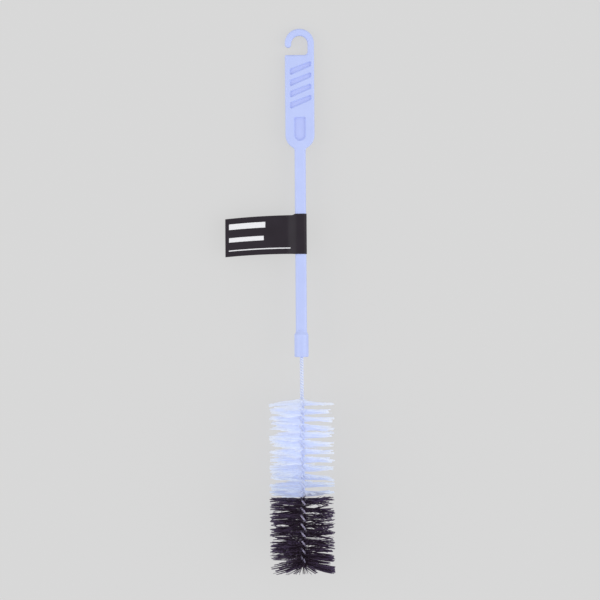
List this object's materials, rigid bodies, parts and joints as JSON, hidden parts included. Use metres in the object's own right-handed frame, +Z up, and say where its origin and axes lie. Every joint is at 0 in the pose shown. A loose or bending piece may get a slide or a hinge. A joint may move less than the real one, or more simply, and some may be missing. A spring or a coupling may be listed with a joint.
{
  "type": "bottle brush",
  "caption": "Bottle brush with a moulded hook handle, twisted wire stem, pale and black bristles, and a folded card label.",
  "frame": {"origin": "on the table, under the middle of the brush's outer box; the brush lies as it rests, on the end of its hook and the rim of its bristles", "axes": "+Y along the brush towards its hook, +Z up out of the paddle's front face, +X to the right of that face, away from the label's flag"},
  "size_m": [0.0793, 0.4, 0.0566],
  "materials": {
    "handle_plastic": "pale periwinkle moulded plastic, satin",
    "wire_steel": "drawn galvanised wire",
    "pale_filament": "translucent pale blue nylon filament",
    "black_filament": "black nylon filament with a soft sheen",
    "black_card": "black coated card"
  },
  "bodies": {
    "root": {"handle": "handle_plastic", "wire": "wire_steel", "pale_bristles": "pale_filament", "black_bristles": "black_filament", "label": "black_card"}
  },
  "joints": []
}
